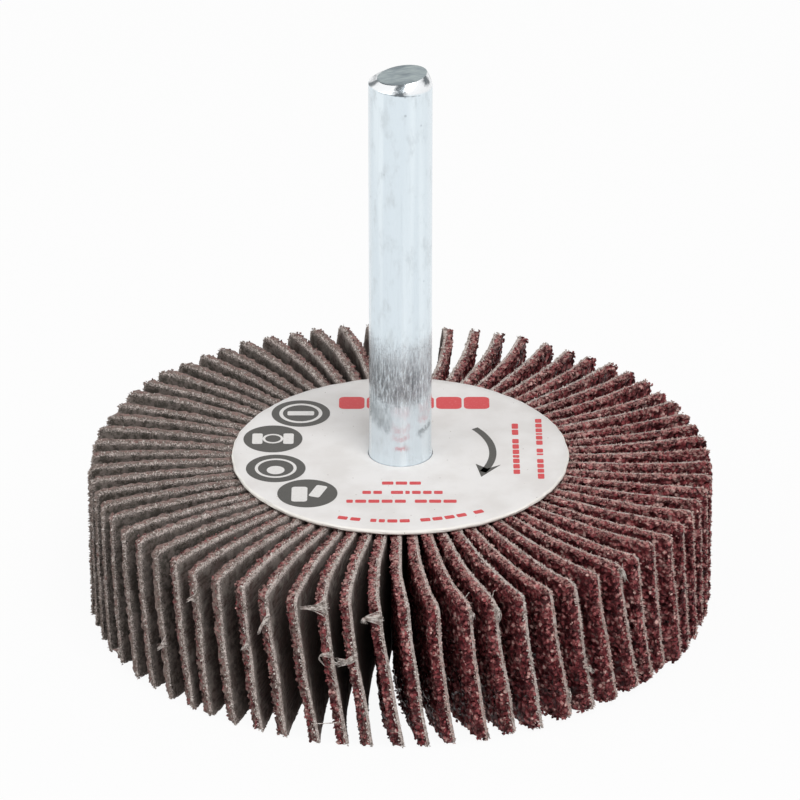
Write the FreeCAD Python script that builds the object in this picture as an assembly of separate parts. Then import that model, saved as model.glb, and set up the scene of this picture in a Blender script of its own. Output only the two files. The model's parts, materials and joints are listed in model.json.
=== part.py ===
import FreeCAD, Part
import math
import os

# Flap wheel: abrasive cloth flaps set in a resin core round a straight steel spindle.
# Millimetres, +Z up along the spin axis. The origin is on that axis, on the plane that the
# lower edges of the flaps stand on. Angles grow anticlockwise as seen from the spindle's free end.

# Wheel
WHEEL_DIAMETER = 60.0
FLAP_WIDTH = 15.0

# Flaps, each one a single sheet of coated cloth
FLAP_COUNT = 70
FLAPS_PER_NODE = 2
FLAP_THICKNESS = 0.85
ROOT_GAP = 0.1
ROOT_DEPTH = 1.5
CORNER_CUT = 0.7
FIRST_FLAP_ANGLE = 1.6
# A flap leaves the core flat and radial, then bends about a line that slants across it,
# so its lower corner swings further round than its upper one.
FLAT_BEFORE_BEND = 0.3
BEND_SLANT = 26.0
BEND_RADIUS = 41.0
# No two flaps bend quite alike, and a few neighbours have been pushed further over than the rest.
BEND_UNEVENNESS = 0.07
PUSHED_FLAP = 59.5
PUSHED_SPREAD = 2.6
PUSHED_SHARE = 0.37

# Resin core, cast round the spindle and the roots of the flaps
CORE_RIM_RECESS = 0.4
CORE_RIM_WIDTH = 2.6
CORE_DISH_DEPTH = 0.7

# Spindle
SPINDLE_DIAMETER = 6.0
SPINDLE_FREE_LENGTH = 39.25
SPINDLE_FOOT_COVER = 1.4
SPINDLE_FOOT_CHAMFER = 0.6
# The buried end is pressed a little thicker than the shank, and the swell just shows over the disc.
SWELL_GROWTH = 0.08
SWELL_SHOWN = 0.1
SWELL_RUNOUT = 0.7
# The free end is cropped at a slant and its edge is rounded off unevenly.
END_SLANT = 8.0
END_ROUNDING_HEIGHT = 0.75
END_ROUNDING_WIDTH = 0.65
END_OFFSET = 0.15
END_SECTIONS = 5
# Lengthwise notches under the resin keep the spindle from turning in the core.
NOTCH_COUNT = 12
NOTCH_DEPTH = 0.35
NOTCH_LENGTH = 8.0
NOTCH_TOP_COVER = 2.5

# Card disc that covers the roots on the spindle's side
DISC_DIAMETER = 32.4
DISC_THICKNESS = 0.5
DISC_BORE_CLEARANCE = 0.05

UP = FreeCAD.Vector(0, 0, 1)
ORIGIN = FreeCAD.Vector(0, 0, 0)

wheel_radius = WHEEL_DIAMETER / 2
spindle_radius = SPINDLE_DIAMETER / 2
swell_radius = spindle_radius + SWELL_GROWTH
root_radius = FLAP_COUNT * (FLAP_THICKNESS + ROOT_GAP) / (2 * math.pi)
core_radius = root_radius + ROOT_DEPTH
disc_top = FLAP_WIDTH + DISC_THICKNESS
dish_height = CORE_RIM_RECESS + CORE_DISH_DEPTH
spindle_foot = dish_height + SPINDLE_FOOT_COVER
rounding_start = disc_top + SPINDLE_FREE_LENGTH - END_ROUNDING_HEIGHT


def line(start, end):
    """Straight edge between two points."""
    return Part.LineSegment(start, end).toShape()


def turned(profile):
    """Solid of revolution from (radius, height) corners."""
    corners = [FreeCAD.Vector(radius, 0, height) for radius, height in profile]
    face = Part.Face(Part.makePolygon(corners + corners[:1]))
    return face.revolve(ORIGIN, UP, 360)


def bend_share(index):
    """How far one flap bends over, where 1 is the usual bend. It is the same in every build."""
    slow_wave = math.sin(0.89 * index + 2.0)
    quick_wave = math.sin(2.23 * index + 0.11)
    pushed = math.exp(-((index - PUSHED_FLAP) / PUSHED_SPREAD) ** 2)
    return 1 + BEND_UNEVENNESS * (slow_wave + quick_wave) + PUSHED_SHARE * pushed


def bent_sheet(bend_radius):
    """Wide sheet in the plane of X and Z, flat up to its bend line and curved towards +Y beyond it."""
    slant = math.radians(BEND_SLANT)
    bend_line = FreeCAD.Vector(math.sin(slant), 0, math.cos(slant))
    across = FreeCAD.Vector(math.cos(slant), 0, -math.sin(slant))
    half = FLAP_THICKNESS / 2
    # The sheet is made larger than the flap on every side, and trimmed to its outline later.
    spare = wheel_radius + FLAP_WIDTH
    start = FreeCAD.Vector(core_radius + FLAT_BEFORE_BEND, 0, 0) - bend_line * spare
    turn = min(wheel_radius / bend_radius, math.pi / 2)

    def bent_point(offset, angle):
        radius = bend_radius - offset
        lift = FreeCAD.Vector(0, bend_radius - radius * math.cos(angle), 0)
        return start + across * (radius * math.sin(angle)) + lift

    def bent_edge(offset, first, last):
        middle = bent_point(offset, (first + last) / 2)
        return Part.Arc(bent_point(offset, first), middle, bent_point(offset, last)).toShape()

    flat_outer = start - across * spare + FreeCAD.Vector(0, -half, 0)
    flat_inner = start - across * spare + FreeCAD.Vector(0, half, 0)
    section = Part.Wire([
        line(flat_outer, bent_point(-half, 0)),
        bent_edge(-half, 0, turn),
        line(bent_point(-half, turn), bent_point(half, turn)),
        bent_edge(half, turn, 0),
        line(bent_point(half, 0), flat_inner),
        line(flat_inner, flat_outer),
    ])
    return Part.Face(section).extrude(bend_line * (2 * spare + FLAP_WIDTH))


def flap_outline(bend_radius):
    """Block with the flap's outline in the plane of X and Z, its two outer corners cut off."""
    slant = math.radians(BEND_SLANT)
    reach = (wheel_radius - core_radius - FLAT_BEFORE_BEND) * math.cos(slant)
    swing = reach ** 2 / (2 * bend_radius)
    # The lower corner swings furthest, and there the flap just meets the wheel's diameter.
    tip = math.sqrt(wheel_radius ** 2 - min(swing, wheel_radius / 2) ** 2)
    side = wheel_radius / 2
    corners = [
        FreeCAD.Vector(root_radius, -side, 0),
        FreeCAD.Vector(tip - CORNER_CUT, -side, 0),
        FreeCAD.Vector(tip, -side, CORNER_CUT),
        FreeCAD.Vector(tip, -side, FLAP_WIDTH - CORNER_CUT),
        FreeCAD.Vector(tip - CORNER_CUT, -side, FLAP_WIDTH),
        FreeCAD.Vector(root_radius, -side, FLAP_WIDTH),
    ]
    face = Part.Face(Part.makePolygon(corners + corners[:1]))
    return face.extrude(FreeCAD.Vector(0, 2 * side, 0))


def make_flap(index):
    """One flap, turned to its place round the wheel."""
    bend_radius = BEND_RADIUS / bend_share(index)
    flap = bent_sheet(bend_radius).common(flap_outline(bend_radius)).removeSplitter()
    angle = FIRST_FLAP_ANGLE + index * 360.0 / FLAP_COUNT
    flap.rotate(ORIGIN, UP, angle)
    return flap.Solids[0]


def make_root(index):
    """The straight root of a flap, with the room that it takes in the core."""
    half = FLAP_THICKNESS / 2
    corner = FreeCAD.Vector(root_radius, -half, -DISC_THICKNESS)
    root = Part.makeBox(2 * ROOT_DEPTH, FLAP_THICKNESS, FLAP_WIDTH + 2 * DISC_THICKNESS, corner)
    root.rotate(ORIGIN, UP, FIRST_FLAP_ANGLE + index * 360.0 / FLAP_COUNT)
    return root


def make_notches():
    """Wedges for the notches in the spindle's buried end."""
    notch_top = FLAP_WIDTH - NOTCH_TOP_COVER
    width = 2 * NOTCH_DEPTH
    outer = swell_radius + NOTCH_DEPTH
    wedges = []
    for index in range(NOTCH_COUNT):
        corners = [
            FreeCAD.Vector(swell_radius - NOTCH_DEPTH, 0, notch_top - NOTCH_LENGTH),
            FreeCAD.Vector(outer, width, notch_top - NOTCH_LENGTH),
            FreeCAD.Vector(outer, -width, notch_top - NOTCH_LENGTH),
        ]
        wedge = Part.Face(Part.makePolygon(corners + corners[:1])).extrude(UP * NOTCH_LENGTH)
        wedge.rotate(ORIGIN, UP, index * 360.0 / NOTCH_COUNT)
        wedges.append(wedge)
    return Part.makeCompound(wedges)


def make_spindle_end():
    """Rounded and slanting free end, lofted through circles that tilt and shrink on the way up."""
    sections = []
    for step in range(END_SECTIONS):
        angle = math.pi / 2 * step / (END_SECTIONS - 1)
        rise = math.sin(angle)
        inset = 1 - math.cos(angle)
        tilt = math.radians(END_SLANT) * rise
        centre = FreeCAD.Vector(END_OFFSET * inset, 0, rounding_start + END_ROUNDING_HEIGHT * rise)
        normal = FreeCAD.Vector(-math.sin(tilt), 0, math.cos(tilt))
        circle = Part.Circle(centre, normal, spindle_radius - END_ROUNDING_WIDTH * inset)
        sections.append(Part.Wire(circle.toShape()))
    return Part.makeLoft(sections, True, True)


def make_spindle():
    """Round spindle with its thicker, notched buried end and its cropped free end."""
    shaft = turned([
        (0, spindle_foot),
        (swell_radius - SPINDLE_FOOT_CHAMFER, spindle_foot),
        (swell_radius, spindle_foot + SPINDLE_FOOT_CHAMFER),
        (swell_radius, disc_top + SWELL_SHOWN),
        (spindle_radius, disc_top + SWELL_SHOWN + SWELL_RUNOUT),
        (spindle_radius, rounding_start),
        (0, rounding_start),
    ])
    return shaft.fuse(make_spindle_end()).removeSplitter().cut(make_notches())


def make_core(spindle):
    """Cast core with a shallow dish underneath, filled round the spindle and the flap roots."""
    dish_radius = root_radius - CORE_RIM_WIDTH
    core = turned([
        (0, dish_height),
        (dish_radius - CORE_DISH_DEPTH, dish_height),
        (dish_radius, CORE_RIM_RECESS),
        (core_radius, CORE_RIM_RECESS),
        (core_radius, FLAP_WIDTH),
        (0, FLAP_WIDTH),
    ])
    roots = Part.makeCompound([make_root(index) for index in range(FLAP_COUNT)])
    return core.cut(spindle).cut(roots)


def make_disc():
    """Flat card disc, seated on the upper edges of the flaps and on the core."""
    bore_radius = swell_radius + DISC_BORE_CLEARANCE
    return turned([
        (bore_radius, FLAP_WIDTH),
        (DISC_DIAMETER / 2, FLAP_WIDTH),
        (DISC_DIAMETER / 2, disc_top),
        (bore_radius, disc_top),
    ])


def flap_nodes():
    """Flaps in small neighbouring groups, each group a node of separate solids."""
    nodes = {}
    for first in range(0, FLAP_COUNT, FLAPS_PER_NODE):
        last = min(first + FLAPS_PER_NODE, FLAP_COUNT)
        name = "flap_pair_%02d" % (first // FLAPS_PER_NODE + 1)
        nodes[name] = Part.makeCompound([make_flap(index) for index in range(first, last)])
    return nodes


def main():
    """Build every piece and write each to its own file."""
    spindle = make_spindle()
    nodes = {
        "spindle": spindle,
        "resin_core": make_core(spindle),
        "label_disc": make_disc(),
    }
    nodes.update(flap_nodes())
    os.makedirs("parts", exist_ok=True)
    for name, shape in nodes.items():
        shape.exportStep("parts/%s.step" % name)


main()
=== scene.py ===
"""Looks of a spindle-mounted flap wheel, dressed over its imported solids.

Lengths are in metres, in the frame of the solids: +Z runs up the spin axis, and -Y faces the camera.
"""

import json
import logging
import math
from collections.abc import Iterable, Sequence
from dataclasses import dataclass, field
from enum import Enum

import bmesh
import bpy
import numpy as np
from mathutils import Matrix, Vector
from mathutils.bvhtree import BVHTree


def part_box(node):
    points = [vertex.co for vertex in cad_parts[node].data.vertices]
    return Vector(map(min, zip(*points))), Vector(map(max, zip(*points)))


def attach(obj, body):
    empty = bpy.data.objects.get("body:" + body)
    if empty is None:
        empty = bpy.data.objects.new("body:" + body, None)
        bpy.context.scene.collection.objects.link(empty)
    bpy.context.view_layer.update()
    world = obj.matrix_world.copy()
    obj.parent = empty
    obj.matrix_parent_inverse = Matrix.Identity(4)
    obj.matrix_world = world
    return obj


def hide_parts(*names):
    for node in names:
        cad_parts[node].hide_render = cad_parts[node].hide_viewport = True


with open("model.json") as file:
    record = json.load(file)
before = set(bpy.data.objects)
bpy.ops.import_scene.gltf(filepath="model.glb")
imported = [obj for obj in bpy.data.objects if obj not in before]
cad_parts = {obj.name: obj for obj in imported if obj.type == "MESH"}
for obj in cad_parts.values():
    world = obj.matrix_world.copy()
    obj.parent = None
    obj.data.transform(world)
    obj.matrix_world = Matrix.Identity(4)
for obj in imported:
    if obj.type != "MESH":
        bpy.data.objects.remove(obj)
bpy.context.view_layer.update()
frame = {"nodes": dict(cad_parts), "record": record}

log = logging.getLogger("flap_wheel")

MM = 0.001
BODY = "root"
SEED = 60156
DISC_CLEARANCE = 0.05 * MM

Colour = tuple[float, float, float, float]


def screen(red: float, green: float, blue: float) -> Colour:
    """Turn a colour as a screen shows it, 0 to 255, into the linear values that shaders take.

    Args:
        red: Red on the screen.
        green: Green on the screen.
        blue: Blue on the screen.

    Returns:
        The linear colour, with full alpha.
    """
    def linear(value: float) -> float:
        """Undo the screen's curve for one channel."""
        share = value / 255
        return share / 12.92 if share <= 0.04045 else ((share + 0.055) / 1.055) ** 2.4

    return linear(red), linear(green), linear(blue), 1.0


class Slot(str, Enum):
    """Names of material slots of the record."""

    STEEL = "zinc_plated_steel"
    CARD = "label_card"
    ABRASIVE = "abrasive_cloth"


class Layer(int, Enum):
    """The layers of a coated sheet, and the fuzz on its cut edges, numbered as their material slots are."""

    GRAIN = 0
    CLOTH = 1
    FUZZ = 2


class Graph:
    """Node tree of one material, with short ways to add and join its nodes."""

    def __init__(self, name: str) -> None:
        """Start a material that holds one Principled shader.

        Args:
            name: The material's name.
        """
        self.material = bpy.data.materials.new(name)
        self.material.use_nodes = True
        self.tree = self.material.node_tree
        self.shader = self.tree.nodes["Principled BSDF"]
        self.output = self.tree.nodes["Material Output"]

    def put(self, socket: bpy.types.NodeSocket, value: object) -> None:
        """Join another node's output to a socket, or write a plain value on it.

        Args:
            socket: The input that takes the value.
            value: An output socket, a number, a colour or a vector.
        """
        if isinstance(value, bpy.types.NodeSocket):
            self.tree.links.new(value, socket)
        else:
            socket.default_value = value

    def node(self, kind: str, inputs: dict | None = None, **settings: object) -> bpy.types.Node:
        """Add a node.

        Args:
            kind: The node's type name.
            inputs: Values or output sockets, by the name or number of the input.
            settings: Properties to set on the node.

        Returns:
            The new node.
        """
        made = self.tree.nodes.new(kind)
        for name, value in settings.items():
            setattr(made, name, value)
        for key, value in (inputs or {}).items():
            self.put(made.inputs[key], value)
        return made

    def place(self, stretch: Sequence[float] = (1, 1, 1)) -> bpy.types.NodeSocket:
        """Return Object coordinates, stretched along the axes."""
        point = self.node("ShaderNodeTexCoord").outputs["Object"]
        return self.stretched(point, stretch)

    def stretched(self, point: bpy.types.NodeSocket, stretch: Sequence[float]) -> bpy.types.NodeSocket:
        """Return a point with each axis scaled by its own factor."""
        return self.node("ShaderNodeMapping", {"Vector": point, "Scale": stretch}).outputs["Vector"]

    def attribute(self, name: str, output: str) -> bpy.types.NodeSocket:
        """Return one output of a mesh attribute."""
        return self.node("ShaderNodeAttribute", attribute_name=name).outputs[output]

    def noise(self, point: bpy.types.NodeSocket, size: float, detail: float = 3.0,
              roughness: float = 0.55) -> bpy.types.NodeSocket:
        """Return a cloudy pattern.

        Args:
            point: Where the pattern is read.
            size: Size of its largest features, in the unit of the point.
            detail: Number of finer octaves.
            roughness: Weight of the finer octaves.

        Returns:
            The pattern, about 0 to 1.
        """
        made = self.node("ShaderNodeTexNoise", {
            "Vector": point, "Scale": 1 / size, "Detail": detail, "Roughness": roughness})
        return made.outputs["Fac"]

    def cells(self, point: bpy.types.NodeSocket, size: float,
              output: str = "Distance") -> bpy.types.NodeSocket:
        """Return a pattern of irregular cells, as the distance to each centre or a random colour."""
        made = self.node("ShaderNodeTexVoronoi", {"Vector": point, "Scale": 1 / size})
        return made.outputs[output]

    def math(self, operation: str, *values: object) -> bpy.types.NodeSocket:
        """Return the result of one arithmetic step on numbers or sockets."""
        made = self.node("ShaderNodeMath", dict(enumerate(values)), operation=operation)
        return made.outputs[0]

    def fade(self, value: bpy.types.NodeSocket, start: float, end: float, low: float = 0.0,
             high: float = 1.0) -> bpy.types.NodeSocket:
        """Return a smooth change from low, at start, to high, at end.

        Args:
            value: The number that drives the change.
            start: Where the change starts.
            end: Where it ends.
            low: Result at the start.
            high: Result at the end.

        Returns:
            The changed number.
        """
        made = self.node("ShaderNodeMapRange", {
            "Value": value, "From Min": start, "From Max": end, "To Min": low, "To Max": high},
            interpolation_type="SMOOTHSTEP")
        return made.outputs["Result"]

    def ramp(self, value: bpy.types.NodeSocket,
             stops: Iterable[tuple[float, Colour]]) -> bpy.types.NodeSocket:
        """Return a colour picked along a row of stops.

        Args:
            value: Where along the row, from 0 to 1.
            stops: Places and their colours, in order.

        Returns:
            The colour.
        """
        made = self.node("ShaderNodeValToRGB", {"Fac": value})
        row = made.color_ramp.elements
        for index, (place, colour) in enumerate(stops):
            stop = row[index] if index < 2 else row.new(place)
            stop.position = place
            stop.color = colour
        return made.outputs["Color"]

    def blend(self, share: object, first: object, second: object, how: str = "MIX") -> bpy.types.NodeSocket:
        """Return a mix of two colours.

        Args:
            share: How much of the second colour shows.
            first: The first colour.
            second: The second colour.
            how: The way that they are mixed.

        Returns:
            The mixed colour.
        """
        made = self.node("ShaderNodeMix", {0: share, 6: first, 7: second}, data_type="RGBA", blend_type=how)
        return made.outputs[2]

    def bump(self, height: bpy.types.NodeSocket, depth: float, below: object = None) -> bpy.types.NodeSocket:
        """Return a normal that a relief disturbs.

        Args:
            height: The relief, 0 to 1.
            depth: How deep the relief is.
            below: Another relief's normal to start from.

        Returns:
            The normal.
        """
        inputs = {"Height": height, "Distance": depth}
        if below is not None:
            inputs["Normal"] = below
        return self.node("ShaderNodeBump", inputs).outputs["Normal"]

    def facets(self, cell_colour: bpy.types.NodeSocket, tilt: float) -> bpy.types.NodeSocket:
        """Return a normal that leans its own way in every cell.

        Args:
            cell_colour: A random colour for each cell.
            tilt: How far the normals lean.

        Returns:
            The normal.
        """
        face = self.node("ShaderNodeNewGeometry").outputs["Normal"]
        lean = self.node("ShaderNodeVectorMath", {0: cell_colour, 1: (0.5, 0.5, 0.5)}, operation="SUBTRACT")
        turned = self.node("ShaderNodeVectorMath", {0: lean.outputs[0], 1: (tilt, tilt, tilt), 2: face},
                           operation="MULTIPLY_ADD")
        return self.node("ShaderNodeVectorMath", {0: turned.outputs[0]}, operation="NORMALIZE").outputs[0]

    def finish(self, **sockets: object) -> bpy.types.Material:
        """Fill in the shader's sockets.

        Args:
            sockets: Values by socket name, with underscores for spaces.

        Returns:
            The finished material.
        """
        for name, value in sockets.items():
            self.put(self.shader.inputs[name.replace("_", " ")], value)
        return self.material


@dataclass(frozen=True)
class ZincPlate:
    """Bright zinc plating on drawn steel: faint bands, tiny marks, dark streaks near the wheel partly painted
    as reflection, and a painted highlight on the rounded end.
    """

    body: Colour = screen(225, 236, 243)
    light: Colour = screen(236, 246, 252)
    dull: Colour = screen(209, 218, 223)
    mark: Colour = screen(172, 180, 186)
    # Dark streaks near the wheel: partly rubs, partly painted reflection of the flaps.
    rub_and_reflection: Colour = screen(104, 116, 126)
    # Painted highlight: the rounding of the end is painted brighter than the plating, standing in for the
    # lamp's reflection on it.
    end_highlight: Colour = screen(245, 247, 249)
    scuffed: Colour = screen(104, 110, 114)
    metal: float = 0.66
    fleck_metal: float = 0.22
    # Heights at which the dark streaks start, are full, start to fade, and end: the band where the flaps are
    # mirrored in the rod, so they are partly rubs and partly painted reflection.
    rub_and_reflection_zone: tuple[float, float, float, float] = (20 * MM, 23 * MM, 24 * MM, 31 * MM)

    def build(self) -> bpy.types.Material:
        """Return the material."""
        graph = Graph("zinc_plate")
        bands = graph.noise(graph.place((1, 1, 0.02)), 1.5 * MM, 1.0)
        clouds = graph.noise(graph.place((1, 1, 0.45)), 1.1 * MM, 5.0, 0.65)
        streaks = graph.noise(graph.place((1, 1, 0.03)), 0.26 * MM, 3.0, 0.7)
        strokes = graph.noise(graph.place((1, 1, 0.22)), 0.24 * MM, 3.0, 0.7)
        grain = graph.noise(graph.place(), 0.2 * MM, 2.0)
        colour = graph.blend(graph.fade(bands, 0.5, 0.68), self.body, self.light)
        colour = graph.blend(graph.fade(clouds, 0.5, 0.72, 0.0, 0.75), colour, self.dull)
        colour = graph.blend(graph.fade(streaks, 0.55, 0.75, 0.0, 0.3), colour, self.dull)
        pits = graph.cells(graph.place(), 2.9 * MM)
        scratches = graph.cells(graph.place((1, 1, 0.09)), 2.3 * MM)
        colour = graph.blend(graph.fade(pits, 0.06, 0.02, 0.0, 0.7), colour, self.mark)
        colour = graph.blend(graph.fade(scratches, 0.03, 0.015, 0.0, 0.6), colour, self.mark)
        height = graph.node("ShaderNodeSeparateXYZ", {0: graph.place()}).outputs["Z"]
        start, full, fading, end = self.rub_and_reflection_zone
        near_wheel = graph.math("MULTIPLY", graph.fade(height, end, fading), graph.fade(height, start, full))
        # Dark streaks in the band where the flaps are mirrored, heaviest at its foot: partly rubs, partly
        # painted reflection; the flecks there are less metallic and so show lighter.
        rubs_and_reflection = graph.noise(graph.place((1, 1, 0.14)), 0.2 * MM, 3.0, 0.85)
        flecks = graph.math("MULTIPLY", graph.fade(rubs_and_reflection, 0.52, 0.38), near_wheel)
        rubs_and_reflection = graph.math("MULTIPLY", graph.fade(rubs_and_reflection, 0.5, 0.64, 0.0, 0.6), near_wheel)
        colour = graph.blend(rubs_and_reflection, colour, self.rub_and_reflection)
        rounded = graph.attribute("rounded", "Fac")
        # Painted highlight on the rounding of the end, in place of the lamp's reflection there.
        colour = graph.blend(graph.fade(rounded, 0.1, 0.9), colour, self.end_highlight)
        smudge = graph.noise(graph.place(), 0.5 * MM, 3.0)
        scuffs = graph.math("ADD", graph.attribute("scuff", "Fac"), graph.fade(smudge, 0.3, 0.7, -0.2, 0.2))
        colour = graph.blend(graph.fade(scuffs, 0.15, 0.95), colour, self.scuffed)
        rough = graph.math("ADD", graph.fade(streaks, 0.3, 0.7, 0.02, 0.05),
                           graph.fade(rounded, 0.0, 1.0, 0.0, 0.2))
        relief = graph.bump(strokes, 0.018 * MM, graph.bump(streaks, 0.034 * MM))
        relief = graph.bump(grain, 0.005 * MM, relief)
        metal = graph.fade(flecks, 0.0, 1.0, self.metal, self.fleck_metal)
        return graph.finish(Base_Color=colour, Metallic=metal, Roughness=rough, Specular_IOR_Level=0.3,
                            Normal=relief)


@dataclass(frozen=True)
class CroppedSteel:
    """Bare steel of the cropped end face, greyer than the plating and finely dragged one way."""

    body: Colour = screen(140, 151, 156)
    light: Colour = screen(168, 179, 178)
    dark: Colour = screen(108, 119, 126)
    # Dark line round the rim of the end face: partly a burred edge, partly painted shade standing in for its
    # darker grazing reflection at the front left.
    burr_and_shade: Colour = screen(46, 56, 64)

    def build(self) -> bpy.types.Material:
        """Return the material."""
        graph = Graph("cropped_steel")
        drags = graph.noise(graph.place((0.16, 1, 1)), 0.22 * MM, 3.0)
        clouds = graph.noise(graph.place((0.5, 1, 1)), 1.6 * MM, 3.0)
        colour = graph.blend(graph.fade(drags, 0.35, 0.7), self.body, self.light)
        colour = graph.blend(graph.fade(clouds, 0.45, 0.75), colour, self.dark)
        # Darkened along the rim of the face: partly a burred edge, partly painted shade.
        colour = graph.blend(graph.fade(graph.attribute("burr_and_shade", "Fac"), 0.0, 1.0), colour, self.burr_and_shade)
        relief = graph.bump(drags, 0.006 * MM)
        return graph.finish(Base_Color=colour, Metallic=1.0, Roughness=0.38, Normal=relief)


@dataclass(frozen=True)
class LabelCard:
    """Off-white card, faintly mottled, creamier at its cut edge, which is painted lighter than its face to
    lift the shade on it.
    """

    face: Colour = screen(232, 229, 227)
    mottle: Colour = screen(222, 218, 215)
    # Cream of the cut edge, painted lighter than the face: painted light against the shade on the edge.
    edge: Colour = screen(250, 247, 240)
    speck: Colour = screen(168, 160, 152)

    def build(self) -> bpy.types.Material:
        """Return the material."""
        graph = Graph("label_card")
        point = graph.place()
        clouds = graph.noise(point, 4 * MM, 4.0)
        fibres = graph.noise(point, 0.15 * MM, 3.0, 0.7)
        colour = graph.blend(graph.fade(clouds, 0.35, 0.7), self.face, self.mottle)
        near_rim = graph.attribute("rim", "Fac")
        # Painted light: the cut edge is lightened to lift the shade that falls on it.
        colour = graph.blend(graph.fade(near_rim, 0.2, 0.05), colour, self.edge)
        specks = graph.cells(point, 1.1 * MM)
        colour = graph.blend(graph.fade(specks, 0.07, 0.03), colour, self.speck)
        relief = graph.bump(fibres, 0.01 * MM)
        return graph.finish(Base_Color=colour, Roughness=0.62, Normal=relief)


@dataclass(frozen=True)
class Ink:
    """Flat printing ink with slightly uneven cover."""

    name: str
    colour: Colour
    thin: Colour

    def build(self) -> bpy.types.Material:
        """Return the material."""
        graph = Graph(self.name)
        cover = graph.noise(graph.place(), 0.25 * MM, 3.0, 0.7)
        colour = graph.blend(graph.fade(cover, 0.5, 0.75), self.colour, self.thin)
        rough = graph.fade(cover, 0.3, 0.7, 0.45, 0.6)
        return graph.finish(Base_Color=colour, Roughness=rough)


@dataclass(frozen=True)
class CastResin:
    """Dark filled resin, poured and left with a dull skin."""

    colour: Colour = screen(52, 44, 40)
    bloom: Colour = screen(84, 74, 68)

    def build(self) -> bpy.types.Material:
        """Return the material."""
        graph = Graph("cast_resin")
        point = graph.place()
        clouds = graph.noise(point, 3 * MM, 4.0)
        pits = graph.cells(point, 0.9 * MM)
        colour = graph.blend(graph.fade(clouds, 0.4, 0.75), self.colour, self.bloom)
        relief = graph.bump(graph.fade(pits, 0.05, 0.25), 0.03 * MM)
        relief = graph.bump(clouds, 0.1 * MM, relief)
        rough = graph.fade(clouds, 0.3, 0.7, 0.35, 0.6)
        return graph.finish(Base_Color=colour, Roughness=rough, Normal=relief)


@dataclass(frozen=True)
class Grit:
    """Coarse dark red grain: sharp facets, pale worn points partly painted as glints, painted shade in its
    crevices and deep between the flaps, cloth dust, and shear-cut grain at the top cuts partly painted
    lighter as light from above.
    """

    # Darkest grains, and the colour of the painted shade in the crevices and deep between the flaps.
    deep: Colour = screen(64, 21, 25)
    body: Colour = screen(140, 62, 66)
    light: Colour = screen(182, 118, 116)
    # Palest grains: partly pale worn grain, partly painted glints in place of the facets' highlights.
    worn: Colour = screen(224, 184, 176)
    dust: Colour = screen(128, 112, 105)
    # Shear-cut grain of the top cuts, partly painted paler as light falling from above.
    cut: Colour = screen(182, 142, 135)
    size: float = 0.36 * MM
    tilt: float = 1.1
    # Heights on the flap, in millimetres, between which the shear-cut grain of its top edge sets in; it is
    # partly painted light from above.
    top_edge: tuple[float, float] = (14.2, 14.6)

    def build(self) -> bpy.types.Material:
        """Return the material."""
        graph = Graph("grit")
        point = graph.place()
        cell_colour = graph.cells(point, self.size, "Color")
        shade = graph.node("ShaderNodeSeparateColor", {"Color": cell_colour})
        distance = graph.cells(point, self.size)
        clumps = graph.noise(point, 1.0 * MM, 4.0, 0.6)
        knobs = graph.noise(point, 0.3 * MM, 2.0)
        tone = graph.math("ADD", shade.outputs["Red"], graph.fade(clumps, 0.32, 0.68, -0.4, 0.3))
        fuzzy = graph.attribute("fuzz", "Fac")
        tone = graph.math("MULTIPLY_ADD", fuzzy, -0.3, tone)
        # The top of the row paints the palest grains near white, partly as painted glints.
        stops = [(0.05, self.deep), (0.5, self.body), (0.86, self.light), (1.0, self.worn)]
        colour = graph.ramp(tone, stops)
        # Painted shade: darker towards the edges of each grain's cell, as the shade in the crevices between
        # grains.
        colour = graph.blend(graph.fade(distance, 0.4, 0.75, 0.0, 0.8), colour, self.deep)
        near_rim = graph.attribute("rim", "Fac")
        settled = graph.math("MULTIPLY_ADD", fuzzy, 0.6, knobs)
        cover = graph.math("MULTIPLY", graph.fade(settled, 0.6, 0.92, 0.0, 0.9),
                           graph.fade(near_rim, 0.8, 0.15))
        colour = graph.blend(cover, colour, self.dust)
        place_on_flap = graph.node("ShaderNodeSeparateXYZ", {0: graph.attribute("lay", "Vector")})
        # Top cuts: partly shear-cut grain, partly painted light from above.
        on_top = graph.math("MULTIPLY", graph.fade(place_on_flap.outputs["Y"], *self.top_edge),
                            graph.fade(near_rim, 0.3, 0.05))
        sheared_and_lit = graph.math("MULTIPLY", on_top, graph.fade(knobs, 0.42, 0.62, 0.0, 0.75))
        sheared_and_lit = graph.math("MULTIPLY", sheared_and_lit, graph.fade(fuzzy, 0.2, 0.8, 1.0, 0.3))
        colour = graph.blend(sheared_and_lit, colour, self.cut)
        # Painted shade: the grain darkens with distance from the cut edges, as the shade deep between the
        # flaps.
        colour = graph.blend(graph.fade(near_rim, 0.4, 4.0, 0.0, 0.5), colour, self.deep)
        rough = graph.fade(shade.outputs["Green"], 0.7, 0.95, 0.6, 0.22)
        return graph.finish(Base_Color=colour, Roughness=rough, Specular_IOR_Level=0.2,
                            Normal=graph.facets(cell_colour, self.tilt))


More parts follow.
